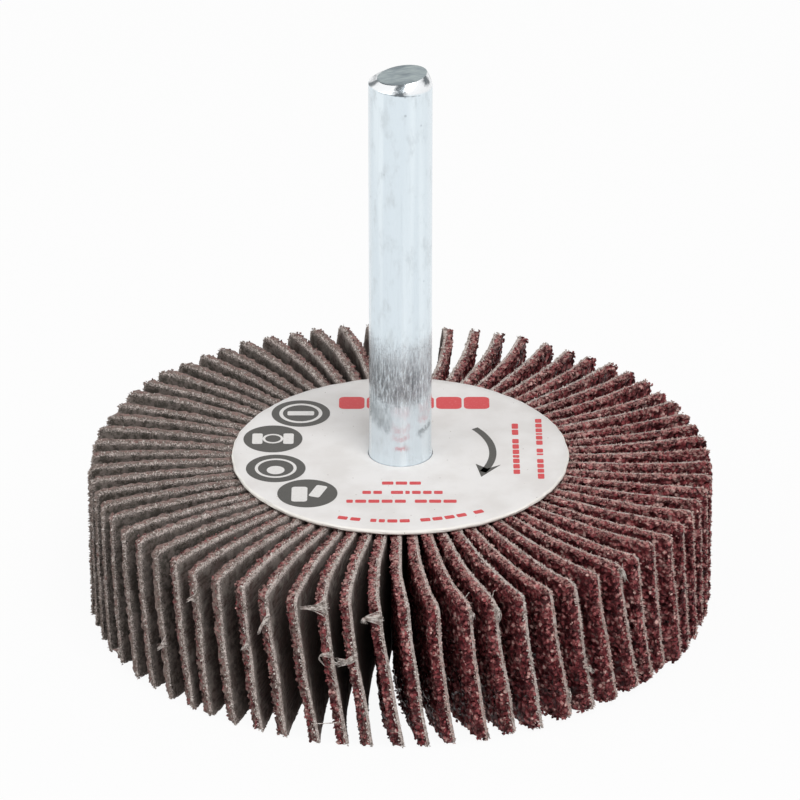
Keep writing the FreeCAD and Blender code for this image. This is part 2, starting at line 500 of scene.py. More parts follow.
@dataclass(frozen=True)
class BackingCloth:
    """Stiff warm-grey cloth, brushed lengthwise, painted darker and even deep down as shade, hazy with fuzz,
    pale at its cuts and partly painted paler beside them as light.
    """

    # Even, darker tone painted deep between the flaps as painted shade.
    deep: Colour = screen(112, 100, 93)
    dark: Colour = screen(74, 66, 62)
    body: Colour = screen(124, 115, 109)
    # Next to the cut edges: partly pale fuzz, partly painted light where the open edge catches more light.
    pale: Colour = screen(172, 162, 155)
    frayed: Colour = screen(214, 200, 194)
    stain: Colour = screen(104, 76, 72)
    shaded: Colour = screen(62, 60, 54)
    hazy: Colour = screen(122, 113, 107)

    def build(self) -> bpy.types.Material:
        """Return the material."""
        graph = Graph("backing_cloth")
        along = graph.attribute("lay", "Vector")
        threads = graph.noise(graph.stretched(along, (0.2, 1.3, 1)), 0.3, 3.0, 0.65)
        weave = graph.noise(graph.stretched(along, (2.2, 0.8, 1)), 0.3, 2.0, 0.6)
        fuzz = graph.noise(graph.place(), 0.14 * MM, 3.0, 0.75)
        clouds = graph.noise(graph.place(), 1.6 * MM, 3.0)
        colour = graph.blend(graph.fade(threads, 0.36, 0.62), self.dark, self.body)
        colour = graph.blend(graph.fade(weave, 0.45, 0.7, 0.0, 0.4), colour, self.dark)
        near_rim = graph.attribute("rim", "Fac")
        depth = graph.math("ADD", near_rim, graph.fade(clouds, 0.3, 0.7, -1.0, 1.0))
        # Painted shade: deep in from the cut edges the threads give way to an even, darker tone, as the shade
        # between the flaps.
        colour = graph.blend(graph.fade(depth, 0.8, 5.5, 0.0, 0.9), colour, self.deep)
        stains = graph.math("ADD", graph.fade(clouds, 0.4, 0.7, 0.0, 0.35),
                            graph.fade(fuzz, 0.52, 0.66, 0.0, 0.3))
        colour = graph.blend(stains, colour, self.stain)
        # Paler towards the cut edges: partly fuzz, partly painted light where the edge catches more light
        # than the cloth deeper in.
        colour = graph.blend(graph.fade(depth, 1.5, -0.2, 0.0, 0.7), colour, self.pale)
        fuzzy = graph.attribute("fuzz", "Fac")
        mottles = graph.noise(graph.place(), 0.7 * MM, 5.0, 0.75)
        haze = graph.blend(graph.fade(mottles, 0.42, 0.6), self.shaded, self.hazy)
        colour = graph.blend(graph.fade(fuzzy, 0.25, 0.85, 0.0, 0.85), colour, haze)
        knobs = graph.noise(graph.place(), 0.3 * MM, 2.0)
        ragged = graph.math("ADD", near_rim, graph.fade(fuzz, 0.36, 0.64, -0.3, 0.5))
        ragged = graph.math("MULTIPLY_ADD", fuzzy, 0.4, ragged)
        frayed = graph.math("MULTIPLY", graph.fade(ragged, 0.75, 0.1, 0.0, 0.95),
                            graph.fade(knobs, 0.3, 0.55, 0.4, 1.0))
        colour = graph.blend(frayed, colour, self.frayed)
        relief = graph.bump(threads, 0.05 * MM)
        relief = graph.bump(fuzz, 0.07 * MM, relief)
        return graph.finish(Base_Color=colour, Roughness=0.95, Specular_IOR_Level=0.1, Normal=relief)


@dataclass(frozen=True)
class Lint:
    """Pale broken threads."""

    pale: Colour = screen(222, 214, 208)
    shade: Colour = screen(140, 128, 121)
    stain: Colour = screen(152, 110, 105)
    rosy: Colour = screen(204, 168, 160)

    def build(self) -> bpy.types.Material:
        """Return the material."""
        graph = Graph("lint")
        patches = graph.noise(graph.place(), 0.35 * MM, 2.0)
        tints = graph.noise(graph.place(), 0.9 * MM, 2.0)
        fuzzy = graph.attribute("fuzz", "Fac")
        dull = graph.math("MULTIPLY_ADD", fuzzy, 0.17, patches)
        colour = graph.blend(graph.fade(fuzzy, 0.16, 0.04, 0.0, 0.8), self.pale, self.rosy)
        colour = graph.blend(graph.fade(dull, 0.46, 0.68), colour, self.shade)
        colour = graph.blend(graph.fade(tints, 0.55, 0.7, 0.0, 0.6), colour, self.stain)
        return graph.finish(Base_Color=colour, Roughness=0.95, Specular_IOR_Level=0.1)


def add_piece(name: str, mesh: bpy.types.Mesh, materials: Sequence[bpy.types.Material],
              stands_for: Sequence[str] = ()) -> bpy.types.Object:
    """Put a finished mesh in the scene as a piece of the wheel.

    Args:
        name: The piece's name.
        mesh: Its mesh, in place.
        materials: Its materials, in the order that its faces number them.
        stands_for: The solids that it is shown instead of.

    Returns:
        The piece.
    """
    mesh.name = name
    for material in materials:
        mesh.materials.append(material)
    piece = bpy.data.objects.new(name, mesh)
    bpy.context.scene.collection.objects.link(piece)
    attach(piece, BODY)
    if stands_for:
        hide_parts(*stands_for)
    log.info("%s: %d faces", name, len(mesh.polygons))
    return piece


def to_mesh(form: bmesh.types.BMesh, smooth: bool = True, sharp_angle: float | None = None) -> bpy.types.Mesh:
    """Turn a finished bmesh into a mesh and free it.

    Args:
        form: The bmesh.
        smooth: Whether its faces are shaded smooth.
        sharp_angle: Angle past which an edge stays sharp, in radians.

    Returns:
        The mesh.
    """
    mesh = bpy.data.meshes.new("mesh")
    form.to_mesh(mesh)
    form.free()
    for polygon in mesh.polygons:
        polygon.use_smooth = smooth
    if sharp_angle is not None:
        mesh.set_sharp_from_angle(angle=sharp_angle)
    return mesh


def turned_form(profile: Sequence[tuple[float, float]], steps: int) -> bmesh.types.BMesh:
    """Spin a profile of (radius, height) points round the axis.

    Args:
        profile: The points, in order.
        steps: Number of steps round.

    Returns:
        The bmesh, closed round, with its faces outwards.
    """
    form = bmesh.new()
    corners = [form.verts.new((radius, 0, height)) for radius, height in profile]
    edges = [form.edges.new(pair) for pair in zip(corners, corners[1:])]
    bmesh.ops.spin(form, geom=corners + edges, cent=(0, 0, 0), axis=(0, 0, 1), angle=2 * math.pi,
                   steps=steps, use_merge=True, use_duplicate=False)
    bmesh.ops.remove_doubles(form, verts=form.verts, dist=0.001 * MM)
    bmesh.ops.recalc_face_normals(form, faces=form.faces)
    return form


@dataclass(frozen=True)
class Scuff:
    """Dull patch on the rounding of the rod's end: where it lies and how far it spreads, in degrees."""

    place: float
    spread: float
    weight: float = 1.0
    full_height: bool = False

    START = 0.3
    RAMP = 0.25

    def strength(self, turn: float, rise: float) -> float:
        """Work out how strong the patch is at one place.

        Args:
            turn: The place's angle round the rod, in degrees.
            rise: Its height on the rounding, from 0 to 1.

        Returns:
            The strength.
        """
        off = (turn - self.place + 180) % 360 - 180
        height = 1.0 if self.full_height else min(max((rise - self.START) / self.RAMP, 0.0), 1.0)
        return height * self.weight * math.exp(-(off / self.spread) ** 2)


@dataclass
class Spindle:
    """Zinc-plated rod with a slanted, rounded free end and a notched, slightly thicker buried end."""

    radius: float
    free_start: float
    free_end: float
    swell_radius: float
    foot: float
    steps: int = 120
    foot_chamfer: float = 0.6 * MM
    swell_runout: float = 0.7 * MM
    notch_count: int = 12
    notch_depth: float = 0.35 * MM
    notch_low: float = 4.5 * MM
    notch_high: float = 12.5 * MM
    end_slant: float = math.radians(8)
    end_rounding_height: float = 0.75 * MM
    end_rounding_width: float = 0.65 * MM
    end_offset: float = 0.15 * MM
    rounding_rings: int = 10
    face_rings: int = 4
    bevel_curve: float = 1.6
    shoulder_drop: float = 0.45 * MM
    scuffed_line: Scuff = Scuff(-92, 36, full_height=True)
    scuffs: tuple[Scuff, ...] = (
        Scuff(-92, 14, full_height=True), Scuff(-167, 12, full_height=True), Scuff(-26, 13), Scuff(80, 30),
        Scuff(152, 50, 0.56), Scuff(25, 42, 0.5))
    # How far up the rounding its painted highlight and its extra roughness come to full strength.
    highlight_start: float = 0.25
    # Where round the rod the dark line on the face's rim is heaviest, and how far it spreads, in degrees:
    # partly a burred edge, partly painted shade.
    burr_and_shade_place: float = -125.0
    burr_and_shade_spread: float = 48.0
    burr_ring: float = 0.88

    SLIGHT = 0.001

    @classmethod
    def from_frame(cls) -> "Spindle":
        """Read the rod's sizes from its solid and from the mount that is measured on it."""
        low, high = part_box("spindle")
        mount = frame["record"]["mounts"][0]
        middle, length = mount["pos_m"][2], mount["dims"]["length_mm"] * MM
        return cls(radius=mount["dims"]["r_mm"] * MM, free_start=middle - length / 2,
                   free_end=middle + length / 2, swell_radius=high.x, foot=low.z)

    def profile(self) -> list[tuple[float, float]]:
        """Return the points from the foot's middle to the start of the end's rounding."""
        step = 0.01 * MM
        return [
            (0, self.foot),
            (self.swell_radius - self.foot_chamfer, self.foot),
            (self.swell_radius, self.foot + self.foot_chamfer),
            (self.swell_radius, self.notch_low - step),
            (self.swell_radius, self.notch_low),
            (self.swell_radius, self.notch_high),
            (self.swell_radius, self.notch_high + step),
            (self.swell_radius, self.free_start - self.swell_runout - 0.03 * MM),
            (self.swell_radius, self.free_start - self.swell_runout),
            (self.radius, self.free_start),
            (self.radius, self.free_start + 0.1 * MM),
            (self.radius, self.free_start + 2 * MM),
            (self.radius, self.free_end - 2 * MM),
            (self.radius, self.free_end - 0.7 * MM),
            (self.radius, self.free_end - 0.12 * MM),
            (self.radius, self.free_end),
        ]

    def end_profile(self) -> list[tuple[float, float]]:
        """Return the points of the rounding and of the end face, as (radius, rise)."""
        rises = [(ring + 1) / self.rounding_rings for ring in range(self.rounding_rings)]
        width = self.end_rounding_width
        rounding = [(self.radius - width * rise ** self.bevel_curve, rise) for rise in rises]
        rim = rounding[-1][0]
        face = [(rim * (1 - (ring + 1) / self.face_rings), 1.0) for ring in range(self.face_rings)]
        return rounding + [(rim * self.burr_ring, 1.0)] + face

    def tilt_end(self, form: bmesh.types.BMesh) -> None:
        """Slant the rings of the end, each a little more than the one below it."""
        for vertex in form.verts:
            rise = (vertex.co.z - self.free_end) / self.end_rounding_height
            if rise < -0.2:
                continue
            rise = min(max(rise, 0.0), 1.0)
            inset = rise ** self.bevel_curve
            flat = Vector((vertex.co.x, vertex.co.y, 0))
            tilted = Matrix.Rotation(-self.end_slant * rise, 3, "Y") @ flat
            facing_right = 0.5 + 0.5 * flat.x / self.radius
            drop = self.shoulder_drop * facing_right ** 2 * (1 - rise)
            centre = Vector((self.end_offset * inset, 0, vertex.co.z - drop))
            vertex.co = centre + tilted

    def cut_notches(self, form: bmesh.types.BMesh) -> None:
        """Press the lengthwise notches into the buried end."""
        pitch = 2 * math.pi / self.notch_count
        for vertex in form.verts:
            if not self.notch_low - 1e-7 <= vertex.co.z <= self.notch_high + 1e-7:
                continue
            turn = math.atan2(vertex.co.y, vertex.co.x) / pitch
            if abs(turn - round(turn)) < 0.01:
                share = 1 - self.notch_depth / self.swell_radius
                vertex.co.x *= share
                vertex.co.y *= share

    def mark_end(self, form: bmesh.types.BMesh) -> None:
        """Give the end face its own material, and note where the rounding gets its painted highlight, where
        it is scuffed, and where its burred rim gets painted shade.
        """
        rounded = form.verts.layers.float.new("rounded")
        scuff = form.verts.layers.float.new("scuff")
        burr_and_shade = form.verts.layers.float.new("burr_and_shade")
        rim = self.radius - self.end_rounding_width
        for vertex in form.verts:
            rise = (vertex.co.z - self.free_end) / self.end_rounding_height
            if rise < -self.SLIGHT:
                continue
            vertex[rounded] = min(rise / self.highlight_start, 1.0)
            turn = math.degrees(math.atan2(vertex.co.y, vertex.co.x))
            if math.hypot(vertex.co.x, vertex.co.y) > 0.99 * rim:
                # Partly burred edge, partly painted shade, heaviest at the front left.
                vertex[burr_and_shade] = math.exp(-((turn - self.burr_and_shade_place) / self.burr_and_shade_spread) ** 2)
            patches = [self.scuffed_line] if rise < self.SLIGHT else self.scuffs
            vertex[scuff] = max(patch.strength(turn, rise) for patch in patches)
        for face in form.faces:
            if face.calc_center_median().z > self.free_end + (1 - self.SLIGHT) * self.end_rounding_height:
                face.material_index = 1

    def build(self, plating: bpy.types.Material, bare: bpy.types.Material) -> bpy.types.Object:
        """Make the rod.

        Args:
            plating: Its finish.
            bare: Finish of its cropped end face.

        Returns:
            The piece.
        """
        height = self.end_rounding_height
        end = [(radius, self.free_end + height * rise) for radius, rise in self.end_profile()]
        form = turned_form(self.profile() + end, self.steps)
        self.cut_notches(form)
        self.mark_end(form)
        self.tilt_end(form)
        mesh = to_mesh(form, True, math.radians(35))
        return add_piece("spindle_rod", mesh, [plating, bare], ["spindle"])


@dataclass
class LabelDisc:
    """Card disc over the flap roots, with a slightly uneven cut edge."""

    radius: float
    bottom: float
    top: float
    bore: float
    steps: int = 180
    rings: int = 14
    edge_softness: float = 0.16 * MM
    unevenness: float = 0.09 * MM
    edge_inset: float = 0.3
    first_wave: int = 3
    wave_step: int = 7
    waves: int = 6

    @classmethod
    def from_frame(cls, bore: float) -> "LabelDisc":
        """Read the disc's sizes from its solid.

        Args:
            bore: Radius of the hole for the spindle.

        Returns:
            The disc.
        """
        low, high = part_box("label_disc")
        return cls(radius=high.x, bottom=low.z, top=high.z, bore=bore)

    def build(self, material: bpy.types.Material) -> bpy.types.Object:
        """Make the disc.

        Args:
            material: Its card.

        Returns:
            The piece.
        """
        soft = self.edge_softness
        middle = (self.top + self.bottom) / 2
        width = self.radius - soft - self.bore
        across = [self.bore + width * ring / self.rings for ring in range(self.rings + 1)]
        profile = [(radius, self.top) for radius in across]
        profile += [(self.radius, self.top - soft), (self.radius, middle), (self.radius, self.bottom + soft)]
        profile += [(self.radius - soft, self.bottom), (self.bore, self.bottom), (self.bore, self.top)]
        form = turned_form(profile, self.steps)
        rim = form.verts.layers.float.new("rim")
        random = np.random.default_rng(SEED)
        phases = random.uniform(0, 2 * math.pi, self.waves)
        for vertex in form.verts:
            reach = math.hypot(vertex.co.x, vertex.co.y)
            vertex[rim] = (self.radius - reach) / MM
            if reach > self.radius - 1.1 * soft:
                turn = math.atan2(vertex.co.y, vertex.co.x)
                wave = sum(math.sin((self.first_wave + self.wave_step * index) * turn + phase)
                           for index, phase in enumerate(phases)) / self.waves
                off = wave + random.uniform(-0.5, 0.5) - self.edge_inset
                share = 1 + self.unevenness * off / reach
                vertex.co.x *= share
                vertex.co.y *= share
        mesh = to_mesh(form, True, math.radians(50))
        return add_piece("label_card", mesh, [material], ["label_disc"])


class Shape(Enum):
    """Plain shapes that the print is made of."""

    DISC = "disc"
    RING = "ring"
    BLOCK = "block"


@dataclass
class Print:
    """Plain marks printed on the card: dark round marks, an arrow for the way it turns, and red bars."""

    card_top: float
    lift: float = 0.006 * MM
    thickness: float = 0.012 * MM
    corner_share: float = 0.2
    # In millimetres: the round marks, the arrow's line and the bars.
    mark_places: tuple[tuple[float, float], ...] = ((-9.7, 8.2), (-12.3, 2.75), (-11.9, -3.45), (-8.8, -8.6))
    mark_diameter: float = 5.7
    arrow_width: float = 0.7
    bar_height: float = 0.62
    bar_gap: float = 0.22

    def mark(self, form: bmesh.types.BMesh, shape: Shape, place: tuple[float, float],
             size: tuple[float, float], turn: float = 0.0, level: int = 0) -> None:
        """Add one flat shape.

        Args:
            form: The bmesh that takes it.
            shape: Its kind.
            place: Its middle, in millimetres from the axis.
            size: Its width and height, or its outer and inner diameter, in millimetres.
            turn: Its turn, in degrees.
            level: How many shapes lie under it.
        """
        before = set(form.verts)
        if shape is Shape.BLOCK:
            made = bmesh.ops.create_grid(form, x_segments=1, y_segments=1, size=0.5)["verts"]
            bmesh.ops.scale(form, verts=made, vec=(size[0] * MM, size[1] * MM, 1))
            edges = list(dict.fromkeys(edge for vertex in made for edge in vertex.link_edges))
            bmesh.ops.bevel(form, geom=made + edges, offset=self.corner_share * min(size) * MM,
                            affect="VERTICES", segments=3, profile=0.5, material=-1)
        else:
            bmesh.ops.create_circle(form, cap_ends=True, segments=64, radius=size[0] * MM / 2)
        new = [vertex for vertex in form.verts if vertex not in before]
        faces = list(dict.fromkeys(face for vertex in new for face in vertex.link_faces))
        if shape is Shape.RING:
            inner = bmesh.ops.inset_region(form, faces=faces, thickness=(size[0] - size[1]) * MM / 2,
                                           use_boundary=True, use_even_offset=True)["faces"]
            bmesh.ops.delete(form, geom=faces, context="FACES_ONLY")
            faces = inner
        self.thicken(form, faces)
        new = [vertex for vertex in form.verts if vertex not in before]
        bmesh.ops.rotate(form, verts=new, cent=(0, 0, 0), matrix=Matrix.Rotation(math.radians(turn), 3, "Z"))
        height = self.card_top + self.lift + level * (self.thickness + self.lift)
        bmesh.ops.translate(form, verts=new, vec=(place[0] * MM, place[1] * MM, height))

    def thicken(self, form: bmesh.types.BMesh, faces: list[bmesh.types.BMFace]) -> None:
        """Give flat faces the thickness of the ink."""
        grown = bmesh.ops.extrude_face_region(form, geom=faces)["geom"]
        tops = [part for part in grown if isinstance(part, bmesh.types.BMVert)]
        bmesh.ops.translate(form, verts=tops, vec=(0, 0, self.thickness))

    def finish_piece(self, name: str, form: bmesh.types.BMesh,
                     material: bpy.types.Material) -> bpy.types.Object:
        """Turn the shapes into a piece of card print."""
        bmesh.ops.recalc_face_normals(form, faces=form.faces)
        return add_piece(name, to_mesh(form, False), [material])

    def build_round_marks(self, dark: bpy.types.Material, pale: bpy.types.Material) -> None:
        """Print the four dark round marks with a plain pale shape in each.

        Args:
            dark: Ink of the marks.
            pale: Colour of the shapes in them.
        """
        marks = bmesh.new()
        for place in self.mark_places:
            self.mark(marks, Shape.DISC, place, (self.mark_diameter, 0))
        self.finish_piece("print_round_marks", marks, dark)
        # The shapes in each mark in turn: kind, place off its middle, size and turn.
        fillings = [
            [(Shape.RING, (0, 0), (4.2, 3.5), 0), (Shape.BLOCK, (0, 0), (2.6, 0.9), 0)],
            [(Shape.BLOCK, (-1.5, 0), (1.0, 2.2), 0), (Shape.BLOCK, (1.5, 0), (1.0, 2.2), 0),
             (Shape.RING, (0, 0), (2.0, 1.5), 0)],
            [(Shape.RING, (0, 0), (4.0, 3.4), 0), (Shape.DISC, (0, -0.4), (1.7, 0), 0)],
            [(Shape.BLOCK, (-0.75, -0.2), (1.5, 3.0), 0), (Shape.BLOCK, (1.0, 0.4), (1.1, 2.4), -20)],
        ]
        shapes = bmesh.new()
        for (x, y), filling in zip(self.mark_places, fillings):
            for shape, (off_x, off_y), size, turn in filling:
                self.mark(shapes, shape, (x + off_x, y + off_y), size, turn, level=1)
        self.finish_piece("print_round_mark_shapes", shapes, pale)

    def build_arrow(self, dark: bpy.types.Material) -> None:
        """Print the curved arrow that shows the way the wheel turns.

        Args:
            dark: Its ink.
        """
        form = bmesh.new()
        start, bulge, tip = Vector((7.2, 5.0)), Vector((8.85, 0.6)), Vector((7.85, -4.2))
        middle = circle_through(start, bulge, tip)
        radius = (start - middle).length
        first = math.atan2(start.y - middle.y, start.x - middle.x)
        last = math.atan2(tip.y - middle.y, tip.x - middle.x)
        ends = []
        for reach in (radius - self.arrow_width / 2, radius + self.arrow_width / 2):
            place = middle + Vector((math.cos(first), math.sin(first))) * reach
            ends.append(form.verts.new((place.x * MM, place.y * MM, 0)))
        bmesh.ops.spin(form, geom=ends + [form.edges.new(ends)], cent=(middle.x * MM, middle.y * MM, 0),
                       axis=(0, 0, 1), angle=last - first, steps=24, use_duplicate=False)
        wings = [(7.2, -2.5), (7.7, -5.2), (9.6, -2.7), (8.3, -3.5)]
        form.faces.new([form.verts.new((x * MM, y * MM, 0)) for x, y in wings])
        self.thicken(form, form.faces[:])
        bmesh.ops.translate(form, verts=form.verts, vec=(0, 0, self.card_top + self.lift))
        self.finish_piece("print_arrow", form, dark)

    def row(self, form: bmesh.types.BMesh, start: tuple[float, float], end: tuple[float, float],
            widths: Sequence[float], height: float | None = None, sag: float = 0.0) -> None:
        """Print a row of small bars between two points.

        Args:
            form: The bmesh that takes them.
            start: Where the row starts, in millimetres.
            end: Where it ends.
            widths: Relative widths of the bars, in order. A negative one is a gap.
            height: Height of the bars, if it isn't the usual one.
            sag: How far the middle of the row drops below the straight line.
        """
        along = Vector(end) - Vector(start)
        length = along.length
        direction = along / length
        down = Vector((direction.y, -direction.x))
        unit = (length - self.bar_gap * (len(widths) - 1)) / sum(abs(width) for width in widths)
        done = 0.0
        for width in widths:
            size = abs(width) * unit
            if width > 0:
                share = (done + size / 2) / length
                drop = sag * (1 - (2 * share - 1) ** 2)
                slope = math.atan(-4 * sag * (1 - 2 * share) / length)
                place = Vector(start) + direction * (done + size / 2) + down * drop
                turn = math.degrees(math.atan2(direction.y, direction.x) + slope)
                self.mark(form, Shape.BLOCK, tuple(place), (size, height or self.bar_height), turn)
            done += size + self.bar_gap

    def build_red_bars(self, red: bpy.types.Material) -> None:
        """Print the rows of plain red bars.

        Args:
            red: Their ink.
        """
        form = bmesh.new()
        self.row(form, (-6.0, 10.5), (8.7, 10.5), [2.6, 3.2, -0.6, 2.6, 2.6, 2.6], height=2.6)
        self.row(form, (-1.75, -6.5), (1.95, -6.5), [1, 1, 1])
        self.row(form, (-3.6, -8.4), (4.0, -8.4), [1, 1, -0.5, 1.4, 0.5, 1, 1, 1])
        self.row(form, (-5.1, -10.2), (5.3, -10.2), [0.6, 1, 1, 1, 1, -0.4, 1.1, 1.1, 1.2])
        self.row(form, (-5.9, -13.4), (7.8, -12.1), [1, 1, -0.5, 0.6, 0.6, 1, 1, -0.6, 1, 1, 1, 1, -0.3, 1],
                 sag=1.35)
        self.row(form, (11.1, -4.6), (11.1, 6.0), [1, 1, 1, 0.6, 1, 1, 1, -0.5, 1.2, 1.2])
        self.row(form, (13.4, -5.6), (13.4, 7.0), [1.3, 1, 1, 1, -0.5, 0.4, 1, -0.5, 1.1, 1, 0.4, 1, 1, 1])
        self.finish_piece("print_red_bars", form, red)


def circle_through(first: Vector, second: Vector, third: Vector) -> Vector:
    """Find the middle of the circle through three points.

    Args:
        first: A point.
        second: Another point.
        third: A third point.

    Returns:
        The middle.
    """
    a, b = second - first, third - first
    scale = 2 * (a.x * b.y - a.y * b.x)
    x = (b.y * a.length_squared - a.y * b.length_squared) / scale
    y = (a.x * b.length_squared - b.x * a.length_squared) / scale
    return first + Vector((x, y))


@dataclass
class BentForm:
    """Where one flap lies: its direction, its extent and the bend of its two faces, read from its solid."""

    turn: float
    root: float
    tip: float
    foot: float
    top: float
    bends: dict[Layer, np.ndarray] = field(default_factory=dict)

    DEGREES = (7, 4)

    @classmethod
    def from_corners(cls, corners: np.ndarray, faces: list[list[int]]) -> "BentForm":
        """Measure one flap.

        Args:
            corners: Its corners.
            faces: Its faces, as numbers of corners.

        Returns:
            Its form.
        """
        reach = np.hypot(corners[:, 0], corners[:, 1])
        heel = corners[reach < reach.min() + 0.1 * MM]
        turn = math.atan2(heel[:, 1].mean(), heel[:, 0].mean())
        level = corners @ np.array(Matrix.Rotation(-turn, 3, "Z")).T
        low, high = level.min(0), level.max(0)
        form = cls(turn, low[0], high[0], low[2], high[2])
        tree = BVHTree.FromPolygons([Vector(corner) for corner in level], faces)
        edge = 0.02 * MM
        far = 2 * high[0]
        found = {Layer.GRAIN: [], Layer.CLOTH: []}
        for x in np.linspace(low[0] + edge, high[0] - edge, 30):
            for z in np.linspace(low[2] + edge, high[2] - edge, 16):
                for layer, side in ((Layer.GRAIN, -1), (Layer.CLOTH, 1)):
                    hit = tree.ray_cast(Vector((x, side * far, z)), Vector((0, -side, 0)))[0]
                    if hit is not None:
                        found[layer].append((x, hit.y, z))
        for layer, hits in found.items():
            x, y, z = np.array(hits).T
            form.bends[layer] = np.linalg.lstsq(form.terms(x, z), y, rcond=None)[0]
        return form

    def terms(self, x: np.ndarray, z: np.ndarray) -> np.ndarray:
        """Return the powers of each point's place on the flap."""
        along = 2 * (x - self.root) / (self.tip - self.root) - 1
        up = 2 * (z - self.foot) / (self.top - self.foot) - 1
        return np.polynomial.polynomial.polyvander2d(along, up, self.DEGREES)

    def across(self, x: np.ndarray, z: np.ndarray, depth: np.ndarray) -> np.ndarray:
        """Work out how far the sheet lies off its radial plane.

        Args:
            x: Distances from the axis.
            z: Heights.
            depth: Places through the thickness, from 0 on the cloth to 1 on the grain.

        Returns:
            The distances, positive the way that the flap bends.
        """
        terms = self.terms(x, z)
        return (1 - depth) * (terms @ self.bends[Layer.CLOTH]) + depth * (terms @ self.bends[Layer.GRAIN])


def read_flaps(node: bpy.types.Object) -> list[BentForm]:
    """Measure the separate flaps of one solid node.

    Args:
        node: The node's object.

    Returns:
        The form of each flap in it, in the order of their directions.
    """
    form = bmesh.new()
    form.from_mesh(node.data)
    bmesh.ops.remove_doubles(form, verts=form.verts, dist=0.001 * MM)
    seen = set()
    flaps = []
    for first in form.verts:
        if first in seen:
            continue
        group, edge = set(), {first}
        while edge:
            group |= edge
            edge = {link.other_vert(vertex) for vertex in edge for link in vertex.link_edges} - group
        seen |= group
        # A set has another order in each run, so the corners are taken in the order of the mesh.
        corners = [vertex for vertex in form.verts if vertex in group]
        numbers = {vertex: index for index, vertex in enumerate(corners)}
        faces = [[numbers[vertex] for vertex in face.verts] for face in form.faces if face.verts[0] in group]
        flaps.append(BentForm.from_corners(np.array([vertex.co for vertex in corners]), faces))
    form.free()
    return sorted(flaps, key=lambda flap: flap.turn)


